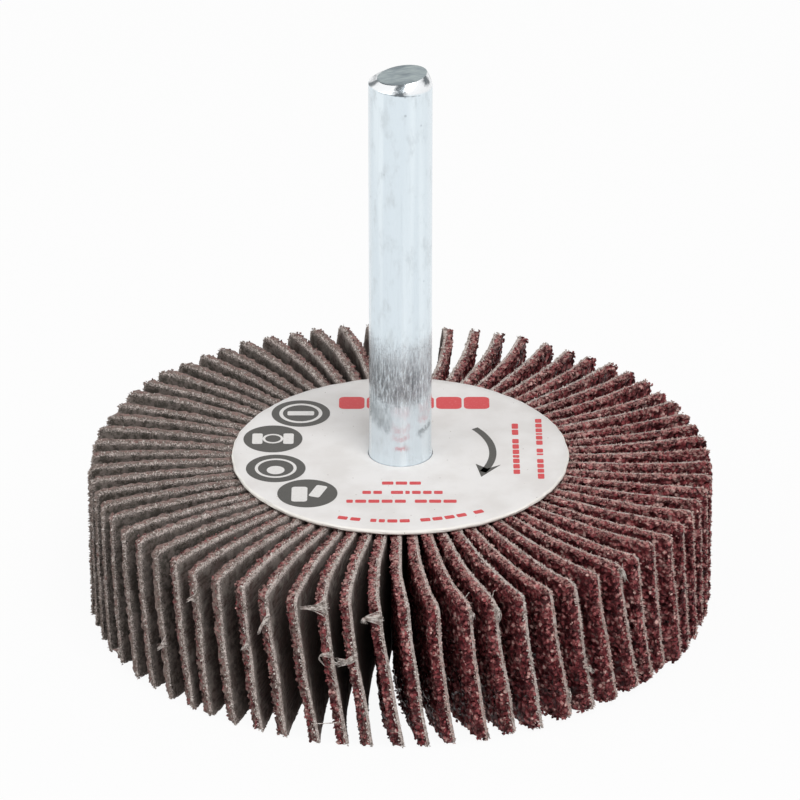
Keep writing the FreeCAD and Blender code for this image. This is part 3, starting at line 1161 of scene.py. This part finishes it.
@dataclass
class Flap:
    """One flap as it is cut and as it ripples: its own outline, laid on the bend of its solid."""

    form: BentForm
    tip: float
    foot: float
    top: float
    upper_corner: float
    lower_corner: float
    rise: float
    fuzz: float
    phases: np.ndarray

    TIP_BOW = 0.06 * MM
    RIPPLE = 0.1 * MM
    CALM_RADIUS = 12.5 * MM
    ROUGH_RADIUS = 16.5 * MM
    LEAST_HEIGHT = 0.02 * MM
    HEADROOM = 0.35 * MM

    # The range of each flap's own size, less than its solid or more.
    TIPS = (-0.15 * MM, 0.2 * MM)
    FEET = (0, 0.04 * MM)
    TOPS = (0, 0.2 * MM)
    UPPER_CORNERS = (0.25 * MM, 0.7 * MM)
    LOWER_CORNERS = (0.1 * MM, 0.5 * MM)

    # Sides of the wheel, as the middle and the spread in degrees, and what the flaps are like there.
    FUZZY_SIDE = math.radians(165)
    FUZZ_FOCUS = 1.7
    FUZZ_SPREAD = 0.08
    RAISED_SIDE, RAISED = (140, 35), 0.4 * MM
    LOWERED_SIDE, LOWERED = (55, 25), 0.2 * MM
    WORN_SIDE = (-53, 26)
    WORN_TIP, WORN_FOOT, WORN_CORNER = 0.25 * MM, 0.32 * MM, 0.9 * MM

    @classmethod
    def draw(cls, form: BentForm, random: np.random.Generator) -> "Flap":
        """Draw the small differences that one flap has from its solid.

        Args:
            form: Where the flap lies.
            random: Source of its chances.

        Returns:
            The flap.
        """
        fuzz = (0.5 + 0.5 * math.cos(form.turn - cls.FUZZY_SIDE)) ** cls.FUZZ_FOCUS
        fuzz += random.uniform(-cls.FUZZ_SPREAD, cls.FUZZ_SPREAD)
        rise = cls.RAISED * cls.nearness(form.turn, cls.RAISED_SIDE)
        rise -= cls.LOWERED * cls.nearness(form.turn, cls.LOWERED_SIDE)
        wear = cls.nearness(form.turn, cls.WORN_SIDE)
        return cls(form=form, tip=form.tip + random.uniform(*cls.TIPS) - cls.WORN_TIP * wear,
                   foot=form.foot + random.uniform(*cls.FEET) + cls.WORN_FOOT * wear,
                   top=form.top - random.uniform(*cls.TOPS), upper_corner=random.uniform(*cls.UPPER_CORNERS),
                   lower_corner=random.uniform(*cls.LOWER_CORNERS) + cls.WORN_CORNER * wear,
                   rise=rise, fuzz=min(max(fuzz, 0.0), 1.0), phases=random.uniform(0, 2 * math.pi, 4))

    @staticmethod
    def nearness(turn: float, side: tuple[float, float]) -> float:
        """Return how near an angle is to a side of the wheel, from 1 in its middle down to 0."""
        return math.exp(-((math.degrees(turn) - side[0]) / side[1]) ** 2)

    def reach(self, z: np.ndarray) -> np.ndarray:
        """Return how far from the axis the tip edge stands at each height."""
        above = np.clip(1 - (self.top - z) / self.upper_corner, 0, 1)
        below = np.clip(1 - (z - self.foot) / self.lower_corner, 0, 1)
        cut = self.upper_corner * (1 - np.sqrt(1 - above ** 2))
        cut += self.lower_corner * (1 - np.sqrt(1 - below ** 2))
        rise = (z - self.foot) / (self.top - self.foot)
        return self.tip - cut - self.TIP_BOW * (2 * rise - 1) ** 2

    def roughness(self, x: np.ndarray) -> np.ndarray:
        """Return how worn the flap is at each distance from the axis, next to nothing under the disc."""
        return np.clip((x - self.CALM_RADIUS) / (self.ROUGH_RADIUS - self.CALM_RADIUS), 0.15, 1)

    def rim(self, x: np.ndarray, z: np.ndarray) -> np.ndarray:
        """Return the distance to the nearest cut edge, in millimetres."""
        return np.maximum(np.minimum(np.minimum(self.reach(z) - x, z - self.foot), self.top - z), 0) / MM

    def bend(self, x: np.ndarray, z: np.ndarray, depth: np.ndarray, lift: np.ndarray) -> np.ndarray:
        """Bring points of the flat flap to their places on the wheel.

        Args:
            x: Distances from the axis.
            z: Heights.
            depth: Places through the thickness, from 0 on the cloth to 1 on the grain.
            lift: Distances out of the grain's surface.

        Returns:
            The points.
        """
        step = 0.05 * MM
        y = self.form.across(x, z, depth)
        slope_x = (self.form.across(x + step, z, depth) - y) / step
        slope_z = (self.form.across(x, z + step, depth) - y) / step
        length = np.sqrt(1 + slope_x ** 2 + slope_z ** 2)
        moved = np.stack([x + lift * slope_x / length, y - lift / length, z + lift * slope_z / length], 1)
        loose = np.clip((x - self.CALM_RADIUS) / (self.form.tip - self.CALM_RADIUS), 0, 1)
        wave = np.sin(x / (1.1 * MM) + z / (2.3 * MM) + self.phases[0])
        wave += np.sin(z / (1.3 * MM) - x / (2.9 * MM) + self.phases[1])
        wave += 1.5 * np.sin(z / (3.1 * MM) + self.phases[2]) + np.sin(x / (2.7 * MM) + self.phases[3])
        moved[:, 1] += self.RIPPLE * loose * wave / 2.5
        outer = np.clip((x - self.ROUGH_RADIUS) / (self.form.tip - self.ROUGH_RADIUS), 0, 1)
        moved[:, 2] = np.clip(moved[:, 2], self.LEAST_HEIGHT, self.form.top + self.HEADROOM)
        moved[:, 2] += self.rise * outer * np.clip(moved[:, 2] / self.form.top, 0, 1)
        return moved @ np.array(Matrix.Rotation(self.form.turn, 3, "Z")).T

    def cloth_edge(self) -> np.ndarray:
        """Return points along the cloth's cut edge, up the tip and along the top."""
        z = np.linspace(self.foot, self.top, 150)
        x = np.linspace(self.CALM_RADIUS, self.tip - self.upper_corner, 150)
        along_x = np.concatenate([self.reach(z), x])
        along_z = np.concatenate([z, np.full(150, self.top)])
        return self.bend(along_x, along_z, np.full(300, 0.15), np.zeros(300))

    def edge_places(self, count: int, random: np.random.Generator) -> tuple[np.ndarray, ...]:
        """Draw places along the cut edges, most of them at the tip and on top.

        Args:
            count: Number of places.
            random: Source of their chances.

        Returns:
            Their distances from the axis, their heights, and the two parts of the way out from each.
        """
        kind, along = random.random(count), random.random(count)
        at_tip, on_top = kind < 0.45, (kind >= 0.45) & (kind < 0.83)
        end = np.where(on_top, self.top, self.foot)
        start = self.CALM_RADIUS + 1 * MM
        z = np.where(at_tip, self.foot + along * (self.top - self.foot), end)
        corner = np.where(on_top, self.upper_corner, self.lower_corner)
        x = np.where(at_tip, self.reach(z), start + along * (self.tip - self.TIP_BOW - corner - start))
        return x, z, np.where(at_tip, 1.0, 0.0), np.where(at_tip, 0.0, np.where(on_top, 1.0, -1.0))


@dataclass
class AbrasiveFlaps:
    """All the flaps, each a sheet of coarse grain on cloth with loose grains and fuzz on its cut edges."""

    columns: int = 46
    rows: int = 40
    depths: tuple[float, ...] = (0.0, 0.32, 0.66, 1.0)
    cloth_share: float = 0.32
    grit_height: float = 0.3 * MM
    grit_shift: float = 0.15 * MM
    ragged_grain: float = 0.36 * MM
    ragged_cloth: float = 0.16 * MM
    # How far the slab's columns crowd to the tip, and how seldom its edges are deeply ragged.
    crowding: float = 1.25
    raggedness: float = 1.4
    edge_rounding: float = 0.06 * MM
    cloth_roughness: float = 0.03 * MM
    crystals: int = 270
    crystal_size: float = 0.21 * MM
    outer_crystals: float = 0.6
    fuzz_cover: float = 0.3 * MM
    fibres: int = 420
    fibre_length: float = 0.1 * MM
    fibre_width: float = 0.085 * MM
    fibre_root: float = 0.1 * MM
    long_fibres: float = 0.035
    lowest: float = 0.01 * MM
    node_step: float = 3.7
    cloth_edges: list[np.ndarray] = field(default_factory=list)

    def sheet(self) -> bpy.types.Mesh:
        """Make the flat slab of unit size that each flap is bent from.

        Returns:
            Its mesh: X runs from root to tip, Z up, and -Y through the thickness from cloth to grain.
        """
        form = bmesh.new()
        bmesh.ops.create_grid(form, x_segments=self.columns, y_segments=self.rows, size=0.5)
        bmesh.ops.translate(form, verts=form.verts, vec=(0.5, 0.5, 0))
        faces = form.faces[:]
        for below, above in zip(self.depths, self.depths[1:]):
            grown = bmesh.ops.extrude_face_region(form, geom=faces)["geom"]
            if below > self.depths[0]:
                bmesh.ops.delete(form, geom=faces, context="FACES_ONLY")
            faces = [part for part in grown if isinstance(part, bmesh.types.BMFace)]
            corners = [part for part in grown if isinstance(part, bmesh.types.BMVert)]
            bmesh.ops.translate(form, verts=corners, vec=(0, 0, above - below))
        bmesh.ops.rotate(form, verts=form.verts, cent=(0, 0, 0), matrix=Matrix.Rotation(math.pi / 2, 3, "X"))
        bmesh.ops.recalc_face_normals(form, faces=form.faces)
        for face in form.faces:
            depth = -face.calc_center_median().y
            face.material_index = Layer.GRAIN if depth > self.cloth_share else Layer.CLOTH
        return to_mesh(form, False)

    def crystal(self) -> bpy.types.Mesh:
        """Make one sharp grain of unit radius, with eight faces."""
        form = bmesh.new()
        for side in (1, -1):
            place = Matrix.Translation((0, 0, side / 2)) @ Matrix.Diagonal((1, 1, side, 1))
            bmesh.ops.create_cone(form, segments=4, radius1=1, radius2=0, depth=1, matrix=place)
        bmesh.ops.remove_doubles(form, verts=form.verts, dist=0.01)
        return self.plain_mesh(form, Layer.GRAIN)

    def fibre(self) -> bpy.types.Mesh:
        """Make one straight broken thread, a thin pyramid with four faces."""
        form = bmesh.new()
        bmesh.ops.create_cone(form, cap_ends=True, segments=3, radius1=1, radius2=0, depth=1)
        return self.plain_mesh(form, Layer.FUZZ)

    def plain_mesh(self, form: bmesh.types.BMesh, layer: Layer) -> bpy.types.Mesh:
        """Turn a small shape into a mesh of one layer's material."""
        bmesh.ops.recalc_face_normals(form, faces=form.faces)
        for face in form.faces:
            face.material_index = layer
        return to_mesh(form, False)

    def blank(self, parts: Sequence[tuple[bpy.types.Mesh, int]], flaps: int) -> bpy.types.Mesh:
        """Gather the unplaced meshes of some flaps in one.

        Args:
            parts: The meshes of one flap, and how many of each it has.
            flaps: Number of flaps.

        Returns:
            The mesh, flap after flap.
        """
        form = bmesh.new()
        for _ in range(flaps):
            for part, count in parts:
                for _ in range(count):
                    form.from_mesh(part)
        mesh = to_mesh(form, False)
        for polygon in mesh.polygons:
            polygon.use_smooth = polygon.material_index == Layer.CLOTH
        mesh.attributes.new("rim", "FLOAT", "POINT")
        mesh.attributes.new("fuzz", "FLOAT", "POINT")
        mesh.attributes.new("lay", "FLOAT_VECTOR", "POINT")
        return mesh

    def place_sheet(self, flat: np.ndarray, flap: Flap,
                    random: np.random.Generator) -> tuple[np.ndarray, ...]:
        """Trim, roughen and bend the slab.

        Args:
            flat: Corners of the slab.
            flap: The flap that it becomes.
            random: Source of its chances.

        Returns:
            The corners in place, and the distance from the edge, distance from the axis and height of each.
        """
        count = len(flat)
        share, depth, rise = flat[:, 0], -flat[:, 1], flat[:, 2]
        z = flap.foot + rise * (flap.top - flap.foot)
        x = flap.form.root + (flap.reach(z) - flap.form.root) * (1 - (1 - share) ** self.crowding)
        is_tip, is_end = share > 0.999, (rise < 0.001) | (rise > 0.999)
        wall = is_tip | is_end
        rim = np.where(wall, 0, flap.rim(x, z))
        facts = np.stack([rim, x / MM, z / MM], 1)
        grainy = depth > self.cloth_share + 0.01
        worn = flap.roughness(x)
        ragged = np.where(grainy, self.ragged_grain * (1 - 0.7 * flap.fuzz), self.ragged_cloth) * worn
        middle = (depth > 0.01) & (depth < 0.99)
        round_off = np.where(middle, 0.0, self.edge_rounding)
        x = x - np.where(is_tip, ragged * random.random(count) ** self.raggedness + round_off, 0)
        inward = np.where(rise > 0.5, -1, 1)
        z_off = 0.8 * ragged * random.random(count) ** self.raggedness + round_off
        z = z + np.where(is_end, inward * z_off, 0)
        inside = ~wall & (depth > 0.99)
        x = x + np.where(inside, random.uniform(-1, 1, count) * self.grit_shift * worn, 0)
        z = z + np.where(inside, random.uniform(-1, 1, count) * self.grit_shift * worn, 0)
        lift = np.where(depth > 0.99, self.grit_height * (random.random(count) ** 1.5 - 0.3), 0)
        lift = np.where(middle & wall & grainy, 0.5 * self.ragged_grain * random.uniform(-1, 1, count), lift)
        lift = np.where(~wall & (depth < 0.01), random.uniform(-1, 1, count) * self.cloth_roughness, lift)
        return flap.bend(x, z, depth, lift * worn), facts

    def place_crystals(self, shape: np.ndarray, flap: Flap,
                       random: np.random.Generator) -> tuple[np.ndarray, ...]:
        """Set loose grains along the cut edges of the grain.

        Args:
            shape: Corners of one grain.
            flap: The flap that carries them.
            random: Source of their chances.

        Returns:
            The corners in place, and the distance from the edge, distance from the axis and height of each.
        """
        count = self.crystals
        x, z, out_x, out_z = flap.edge_places(count, random)
        outer = random.random(count) < self.outer_crystals
        push = np.where(outer, random.uniform(-0.25, 0.06, count), random.uniform(-0.2, 0.0, count)) * MM
        depth = np.where(outer, random.uniform(0.9, 1.2, count), random.uniform(0.45, 0.95, count))
        push -= self.fuzz_cover * flap.fuzz
        centres = flap.bend(x + out_x * push, z + out_z * push, depth, np.zeros(count))
        sizes = self.crystal_size * (1 - 0.45 * flap.fuzz) * random.uniform(0.5, 1.25, (count, 1, 3))
        turns = np.linalg.qr(random.normal(size=(count, 3, 3)))[0]
        turns[np.linalg.det(turns) < 0, :, 0] *= -1
        corners = np.einsum("nij,nkj->nki", turns, sizes * shape[None])
        placed = (centres[:, None] + corners).reshape(-1, 3)
        placed[:, 2] = np.maximum(placed[:, 2], self.lowest)
        rim = np.where(push > -0.12 * MM, 0.02, random.uniform(0.1, 0.5, count))
        facts = np.repeat(np.stack([rim, x / MM, z / MM], 1), len(shape), 0)
        return placed, facts

    def place_fibres(self, shape: np.ndarray, flap: Flap,
                     random: np.random.Generator) -> tuple[np.ndarray, ...]:
        """Set short broken threads along the cut edges of the cloth.

        Args:
            shape: Corners of one thread.
            flap: The flap that carries them.
            random: Source of their chances.

        Returns:
            The corners in place, and the distance from the edge, distance from the axis and height of each.
        """
        count = self.fibres
        x, z, out_x, out_z = flap.edge_places(count, random)
        depth = random.uniform(0.0, 0.52, count) + 0.15 * flap.fuzz * random.random(count)
        length = self.fibre_length * (1 + 0.3 * flap.fuzz) * random.uniform(0.5, 1.5, count)
        is_long = random.random(count) < self.long_fibres * (1 - 0.7 * flap.fuzz)
        length = np.where(is_long, length * random.uniform(1.5, 3.0, count), length)
        drift = random.normal(0, 0.6, count)
        aside = random.normal(0, 0.55, count)
        root = self.fibre_root
        start = flap.bend(x - out_x * root, z - out_z * root, depth, np.zeros(count))
        run = length / np.sqrt(1 + drift ** 2 + aside ** 2)
        end = flap.bend(x + run * (out_x + drift * out_z), z + run * (out_z + drift * out_x), depth,
                        run * aside)
        axis = end - start
        axis /= np.linalg.norm(axis, axis=1, keepdims=True)
        first = np.cross(axis, random.normal(size=(count, 3)))
        first /= np.linalg.norm(first, axis=1, keepdims=True)
        second = np.cross(axis, first)
        share = (shape[:, 2] + 0.5)[None, :, None]
        middle = start[:, None] * (1 - share) + end[:, None] * share
        width = self.fibre_width * (1 + 0.35 * flap.fuzz) * random.uniform(0.6, 1.6, count)
        width = np.where(is_long, 0.5 * self.fibre_width, width)[:, None, None]
        around = first[:, None] * shape[None, :, 0:1] + second[:, None] * shape[None, :, 1:2]
        placed = (middle + width * around).reshape(-1, 3)
        placed[:, 2] = np.maximum(placed[:, 2], self.lowest)
        facts = np.repeat(np.stack([np.zeros(count), x / MM, z / MM], 1), len(shape), 0)
        return placed, facts

    def build(self, materials: Sequence[bpy.types.Material]) -> list[bpy.types.Object]:
        """Make every flap.

        Args:
            materials: Finishes of the grain, the cloth and the fuzz.

        Returns:
            The pieces, one for each node.
        """
        names = sorted(name for name in frame["nodes"] if name.startswith("flap_pair"))
        sheet, crystal, fibre = self.sheet(), self.crystal(), self.fibre()
        flat, grain_shape, thread_shape = corners_of(sheet), corners_of(crystal), corners_of(fibre)
        parts = [(sheet, 1), (crystal, self.crystals), (fibre, self.fibres)]
        blanks = {}
        pieces = []
        for number, name in enumerate(names):
            forms = read_flaps(frame["nodes"][name])
            if len(forms) not in blanks:
                blanks[len(forms)] = self.blank(parts, len(forms))
            mesh = blanks[len(forms)].copy()
            placed, facts, fuzz = [], [], []
            for index, form in enumerate(forms):
                random = np.random.default_rng(SEED + 10 * number + index)
                flap = Flap.draw(form, random)
                for corners, told in (self.place_sheet(flat, flap, random),
                                      self.place_crystals(grain_shape, flap, random),
                                      self.place_fibres(thread_shape, flap, random)):
                    placed.append(corners)
                    facts.append(told)
                    fuzz.append(np.full(len(told), flap.fuzz, np.float32))
                self.cloth_edges.append(flap.cloth_edge())
            told = np.concatenate(facts).astype(np.float32)
            mesh.vertices.foreach_set("co", np.concatenate(placed).astype(np.float32).ravel())
            mesh.attributes["rim"].data.foreach_set("value", np.ascontiguousarray(told[:, 0]))
            mesh.attributes["fuzz"].data.foreach_set("value", np.concatenate(fuzz))
            shift = np.full(len(told), self.node_step * number)
            lay = np.stack([told[:, 1], told[:, 2], shift], 1).astype(np.float32)
            mesh.attributes["lay"].data.foreach_set("vector", lay.ravel())
            mesh.update()
            title = name.replace("flap_pair", "flaps")
            pieces.append(add_piece(title, mesh, materials, [name]))
        return pieces


def corners_of(mesh: bpy.types.Mesh) -> np.ndarray:
    """Return the places of a mesh's corners."""
    corners = np.empty(len(mesh.vertices) * 3, np.float32)
    mesh.vertices.foreach_get("co", corners)
    return corners.reshape(-1, 3).astype(float)


@dataclass(frozen=True)
class Tuft:
    """Wisp of loose threads: roughly where it is rooted and how it runs from there, in millimetres."""

    root: tuple[float, float, float]
    pull: tuple[float, float, float]
    way: tuple[float, float, float]
    threads: int = 30
    root_spread: float = 0.35
    end_spread: float = 0.08
    width: float = 0.075

    STEPS = 8
    SIDES = 4
    FUZZ = 0.2
    SEED_STEP = 5000

    def path(self, base: Vector, number: int, random: np.random.Generator) -> list[Vector]:
        """Draw the way of one thread.

        Args:
            base: Where the wisp is rooted, on the edge of a flap.
            number: The thread's number, where the first one runs to the very end.
            random: Source of its chances.

        Returns:
            Points along it.
        """
        root_off = Vector(random.normal(size=3) * (0.35, 0.35, 1)) * self.root_spread
        end_off = Vector(random.normal(size=3)) * self.end_spread
        wave = Vector(random.normal(size=3)) * 0.5 * self.end_spread
        share = max(random.uniform(0.35, 1.0), number == 0)
        points = []
        for step in range(self.STEPS):
            part = share * step / (self.STEPS - 1)
            bow = 2 * part * (1 - part)
            run = Vector(self.pull) * bow + Vector(self.way) * part ** 2
            run += root_off * (1 - part) ** 2.2 + end_off * part + wave * math.sin(7 * part)
            points.append(base + run * MM)
        return points

    def grow(self, form: bmesh.types.BMesh, edges: np.ndarray, random: np.random.Generator) -> None:
        """Add the threads.

        Args:
            form: The bmesh that takes them.
            edges: Points along the cut edges of the cloth.
            random: Source of their chances.
        """
        off = np.linalg.norm(edges - np.array(self.root) * MM, axis=1)
        base = Vector(edges[int(off.argmin())])
        for number in range(self.threads):
            points = self.path(base, number, random)
            before = None
            for step, point in enumerate(points):
                ahead = points[min(step + 1, len(points) - 1)] - points[max(step - 1, 0)]
                turn = ahead.to_track_quat("Z", "Y").to_matrix()
                radius = self.width * MM / 2 * (1 - 0.6 * step / len(points))
                ring = []
                for side in range(self.SIDES):
                    angle = 2 * math.pi * side / self.SIDES
                    around = Vector((math.cos(angle), math.sin(angle), 0)) * radius
                    ring.append(form.verts.new(point + turn @ around))
                if before is None:
                    form.faces.new(ring[::-1])
                else:
                    for side in range(self.SIDES):
                        after = (side + 1) % self.SIDES
                        form.faces.new((before[side], before[after], ring[after], ring[side]))
                before = ring
            form.faces.new(before)


def build_tufts(material: bpy.types.Material, edges: np.ndarray) -> bpy.types.Object:
    """Make the wisps of loose thread that hang from the flaps.

    Args:
        material: Their finish.
        edges: Points along the cut edges of the cloth.

    Returns:
        The piece.
    """
    tufts = [
        Tuft((-6.7, -28.9, 14.2), (-1.1, -0.1, 0.1), (-2.3, -0.1, 0.2), 90, 0.42, 0.06),
        Tuft((-2.2, -29.6, 13.6), (-2.3, -0.2, 0.5), (-1.3, -0.2, -0.35), 50, 0.3, 0.09),
        Tuft((-4.3, -29.4, 9.6), (-1.0, -0.2, -0.8), (-1.9, -0.2, -0.3), 50, 0.2, 0.2),
        Tuft((-6.8, -28.9, 9.4), (-1.9, -0.2, 0.4), (-0.6, -0.2, -1.0), 12, 0.15, 0.06),
        Tuft((-6.3, -29.0, 2.4), (-1.2, -0.1, 0.0), (-2.9, 0.0, -0.1), 2, 0.0, 0.03, 0.14),
        Tuft((-12.9, -26.8, 12.4), (-0.6, -0.1, -0.4), (-0.9, -0.2, -1.7), 30, 0.22, 0.06),
        Tuft((6.1, -29.0, 13.9), (0.3, -0.3, 0.1), (0.1, -0.3, -0.6), 30, 0.15, 0.12),
        Tuft((8.7, -28.5, 13.8), (0.5, -0.4, 0.1), (0.1, -0.4, -0.9), 46, 0.2, 0.16),
        Tuft((8.1, -28.0, 15.0), (0.1, 0.0, 0.5), (0.5, 0.0, 0.7), 2, 0.0, 0.05, 0.09),
        Tuft((5.4, -28.4, 15.0), (0.1, 0.0, 0.2), (0.4, 0.0, 0.6), 2, 0.0, 0.05, 0.09),
        Tuft((21.2, -20.8, 14.2), (0.2, -0.3, 0.3), (0.4, -0.3, -0.8), 40, 0.3, 0.14),
        Tuft((14.6, -25.8, 3.2), (0.3, -0.3, 0.0), (0.2, -0.3, -0.9), 24, 0.25, 0.08),
        Tuft((17.2, -24.2, 5.4), (0.3, -0.3, 0.0), (0.5, -0.3, -0.5), 20, 0.2, 0.1),
        Tuft((-14.9, -25.7, 9.0), (-0.3, -0.2, 0.1), (-0.6, -0.2, -0.6), 24, 0.3, 0.1),
        Tuft((-19.5, -22.4, 12.0), (-0.4, -0.1, 0.1), (-0.9, -0.1, -0.2), 24, 0.35, 0.08),
        Tuft((-22.3, -19.6, 5.6), (-0.3, -0.1, 0.0), (-0.7, -0.1, -0.5), 24, 0.35, 0.12),
        Tuft((-26.6, -13.4, 1.4), (-0.4, -0.1, 0.2), (-1.1, -0.1, 0.4), 26, 0.3, 0.06),
    ]
    form = bmesh.new()
    for number, tuft in enumerate(tufts):
        tuft.grow(form, edges, np.random.default_rng(SEED + Tuft.SEED_STEP + number))
    bmesh.ops.recalc_face_normals(form, faces=form.faces)
    fuzz = form.verts.layers.float.new("fuzz")
    for vertex in form.verts:
        vertex[fuzz] = Tuft.FUZZ
    return add_piece("loose_threads", to_mesh(form), [material])


@dataclass(frozen=True)
class Lamp:
    """Soft square lamp that points at the wheel."""

    name: str
    place: tuple[float, float, float]
    size: float
    share: float

    def build(self, aim: Vector) -> bpy.types.Object:
        """Make the lamp.

        Args:
            aim: The point that it faces.

        Returns:
            The lamp, as bright as makes a white face that looks at it show its share of white.
        """
        data = bpy.data.lights.new(self.name, "AREA")
        data.shape = "SQUARE"
        data.size = self.size
        away = Vector(self.place) - aim
        data.energy = self.share * math.pi ** 2 * away.length_squared
        lamp = bpy.data.objects.new(self.name, data)
        lamp.location = self.place
        lamp.rotation_euler = away.to_track_quat("Z", "Y").to_euler()
        bpy.context.scene.collection.objects.link(lamp)
        return lamp


@dataclass
class Studio:
    """Pale floor, soft lamps, pale surroundings and the camera."""

    camera_distance: float = 0.5
    camera_elevation: float = math.radians(26.58)
    camera_aim: tuple[float, float, float] = (-0.036 * MM, 0, 21.08 * MM)
    lens: float = 235.4
    floor_size: float = 6.0
    surround: float = 0.47
    floor_glow: float = 0.94
    lamps: tuple[Lamp, ...] = (
        Lamp("key", (0.18, -0.4, 0.75), 0.4, 0.5), Lamp("fill", (-0.5, -0.35, 0.45), 0.5, 0.2))

    def build_camera(self) -> None:
        """Make the camera at the photograph's angle."""
        data = bpy.data.cameras.new("camera")
        data.lens = self.lens
        data.sensor_width = 36
        data.clip_start = 0.01
        camera = bpy.data.objects.new("camera", data)
        back = Vector((0, -math.cos(self.camera_elevation), math.sin(self.camera_elevation)))
        camera.location = Vector(self.camera_aim) + back * self.camera_distance
        camera.rotation_euler = back.to_track_quat("Z", "Y").to_euler()
        bpy.context.scene.collection.objects.link(camera)
        bpy.context.scene.camera = camera

    def build_floor(self) -> None:
        """Make the white floor, which can be looked through from below."""
        form = bmesh.new()
        bmesh.ops.create_grid(form, x_segments=1, y_segments=1, size=self.floor_size / 2)
        mesh = to_mesh(form, False)
        graph = Graph("studio_floor")
        graph.finish(Base_Color=(0.75, 0.75, 0.75, 1), Roughness=0.9, Specular_IOR_Level=0.0)
        path = graph.node("ShaderNodeLightPath")
        glow = graph.node("ShaderNodeEmission", {"Color": (1, 1, 1, 1), "Strength": 1.0})
        clear = graph.node("ShaderNodeBsdfTransparent")
        seen = graph.math("MAXIMUM", path.outputs["Is Camera Ray"], path.outputs["Is Glossy Ray"])
        share = graph.math("MULTIPLY", seen, self.floor_glow)
        lit = graph.node("ShaderNodeMixShader", {0: share, 1: graph.shader.outputs[0], 2: glow.outputs[0]})
        below = graph.node("ShaderNodeNewGeometry").outputs["Backfacing"]
        open_below = graph.math("MULTIPLY", below, path.outputs["Is Camera Ray"])
        both = graph.node("ShaderNodeMixShader", {0: open_below, 1: lit.outputs[0], 2: clear.outputs[0]})
        graph.put(graph.output.inputs["Surface"], both.outputs[0])
        mesh.materials.append(graph.material)
        floor = bpy.data.objects.new("studio_floor", mesh)
        bpy.context.scene.collection.objects.link(floor)

    def build_world(self) -> None:
        """Make the pale surroundings: white where they are seen or mirrored, softer where they light."""
        world = bpy.data.worlds.new("studio")
        bpy.context.scene.world = world
        world.use_nodes = True
        tree = world.node_tree
        background = tree.nodes["Background"]
        background.inputs["Color"].default_value = (1, 1, 1, 1)
        path = tree.nodes.new("ShaderNodeLightPath")
        seen = tree.nodes.new("ShaderNodeMath")
        seen.operation = "MAXIMUM"
        tree.links.new(path.outputs["Is Camera Ray"], seen.inputs[0])
        tree.links.new(path.outputs["Is Glossy Ray"], seen.inputs[1])
        level = tree.nodes.new("ShaderNodeMapRange")
        level.inputs["To Min"].default_value = self.surround
        level.inputs["To Max"].default_value = 1.0
        tree.links.new(seen.outputs[0], level.inputs["Value"])
        tree.links.new(level.outputs["Result"], background.inputs["Strength"])

    def build(self) -> None:
        """Make the whole studio."""
        self.build_camera()
        self.build_floor()
        self.build_world()
        for lamp in self.lamps:
            lamp.build(Vector(self.camera_aim))
        bpy.context.scene.view_settings.view_transform = "Standard"


def main() -> None:
    """Build the studio and dress every part of the wheel."""
    logging.basicConfig(level=logging.INFO, format="%(name)s: %(message)s")
    Studio().build()
    Spindle.from_frame().build(ZincPlate().build(), CroppedSteel().build())
    disc = LabelDisc.from_frame(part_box("spindle")[1].x + DISC_CLEARANCE)
    disc.build(LabelCard().build())
    dark_ink = Ink("dark_ink", screen(66, 64, 60), screen(92, 89, 85)).build()
    pale_ink = Ink("pale_ink", screen(226, 223, 220), screen(210, 206, 202)).build()
    red_ink = Ink("red_ink", screen(206, 62, 66), screen(214, 110, 112)).build()
    printed = Print(disc.top)
    printed.build_round_marks(dark_ink, pale_ink)
    printed.build_arrow(dark_ink)
    printed.build_red_bars(red_ink)
    core = frame["nodes"]["resin_core"]
    core.data.materials.clear()
    core.data.materials.append(CastResin().build())
    lint = Lint().build()
    flaps = AbrasiveFlaps()
    flaps.build([Grit().build(), BackingCloth().build(), lint])
    build_tufts(lint, np.concatenate(flaps.cloth_edges))


if __name__ == "__main__":
    main()
